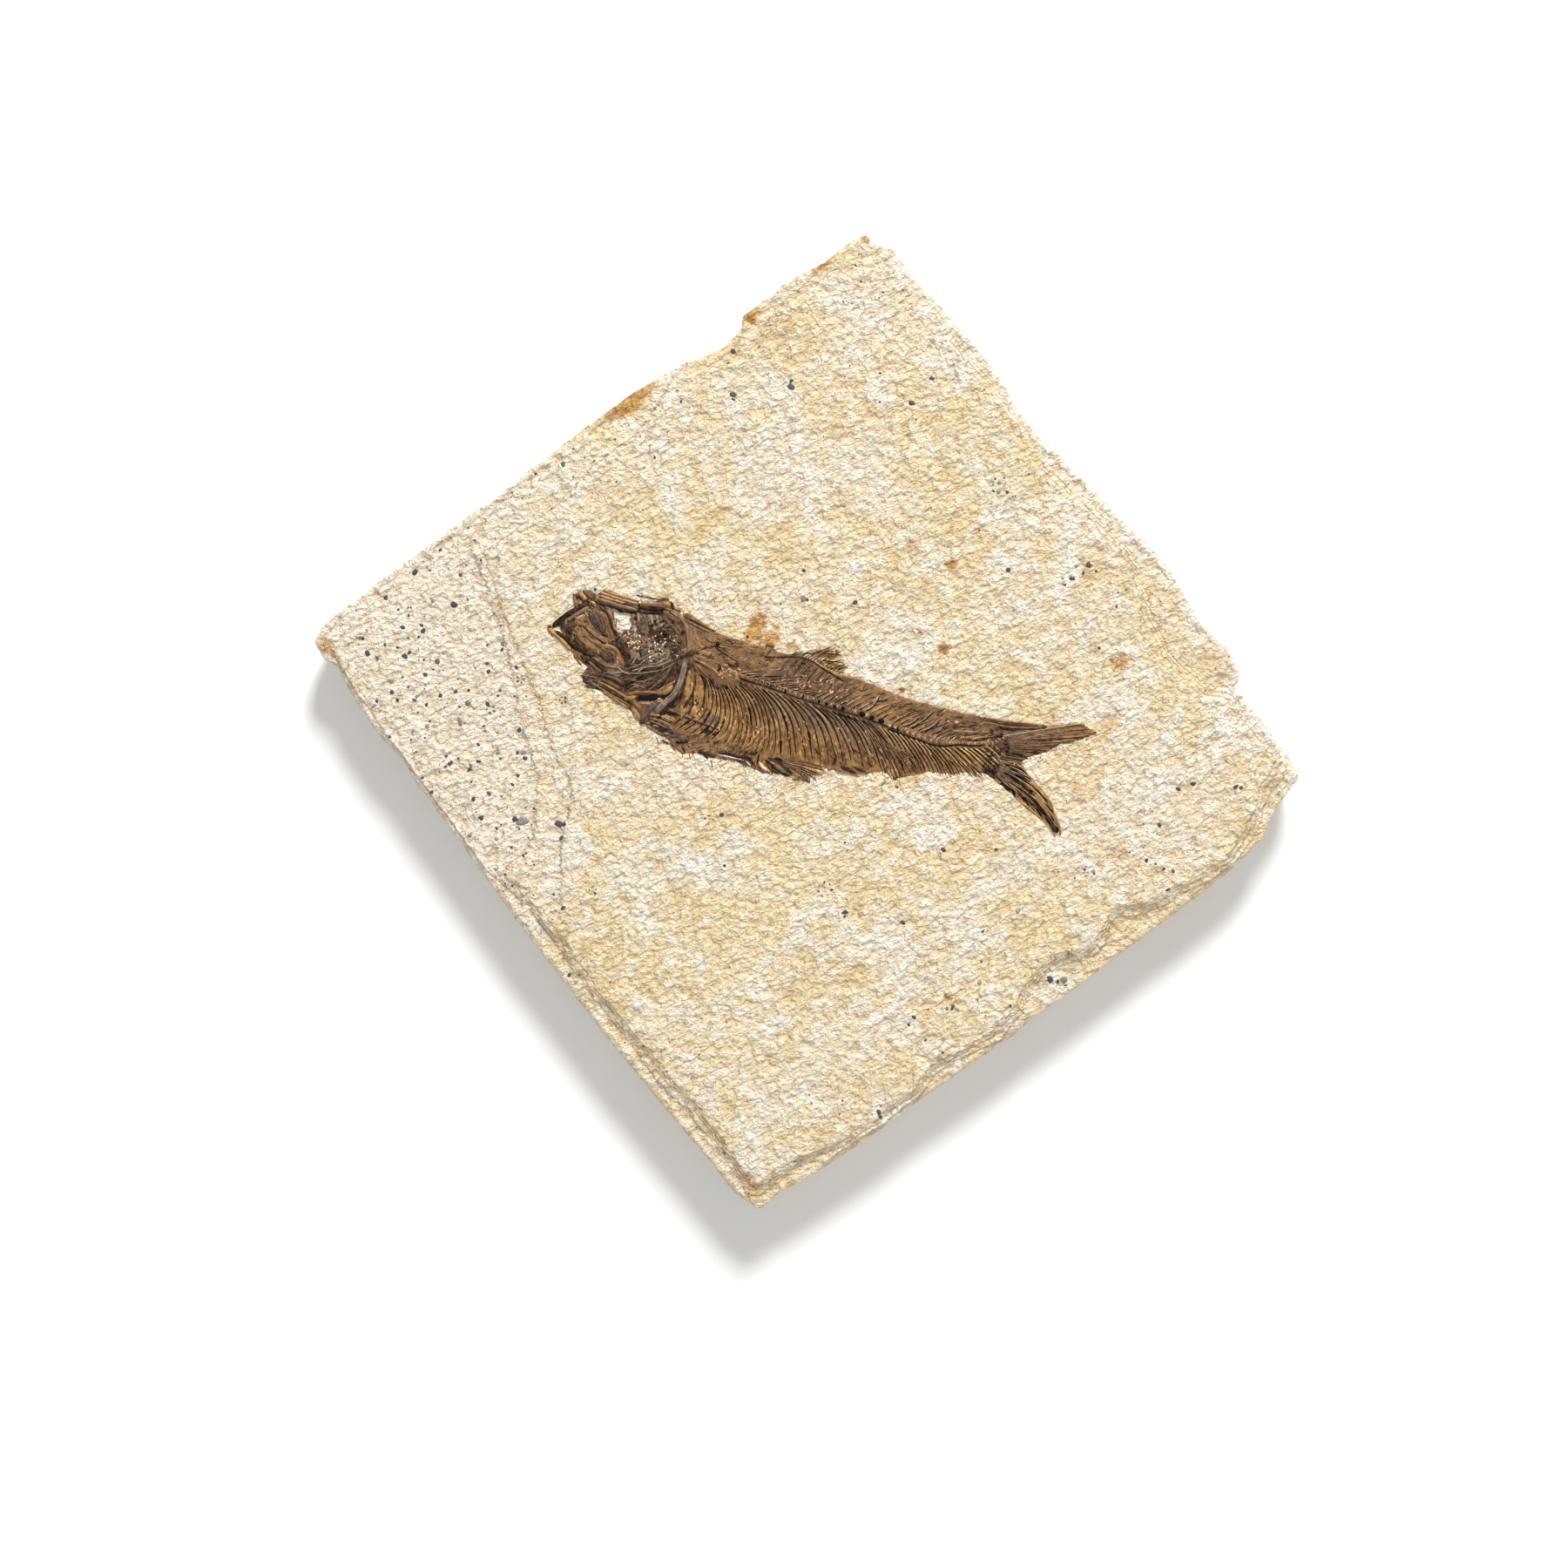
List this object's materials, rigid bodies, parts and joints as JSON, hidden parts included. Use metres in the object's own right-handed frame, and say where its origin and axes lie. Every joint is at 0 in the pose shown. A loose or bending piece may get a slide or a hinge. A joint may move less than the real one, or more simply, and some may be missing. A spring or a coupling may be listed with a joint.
{
  "type": "fossil fish slab",
  "caption": "Flat, roughly square slab of split laminated limestone with a flattened fish skeleton fixed in its upper face.",
  "frame": {"origin": "middle of the bounding box's underside, on the flat bedding plane that the slab rests on", "axes": "+Z out of the face that carries the fish; X and Y along the slab's edges, with the fish's head towards -X and its back towards +Y"},
  "size_m": [0.115, 0.1124, 0.0089],
  "materials": {
    "limestone": "matt, split face with crinkled laminae, dark specks and ochre stains",
    "fossil_bone": "satin to matt mineralised bone, dark brown with tan ribs"
  },
  "bodies": {
    "root": {"matrix_slab": "limestone", "fossil_fish": "fossil_bone"}
  },
  "joints": []
}
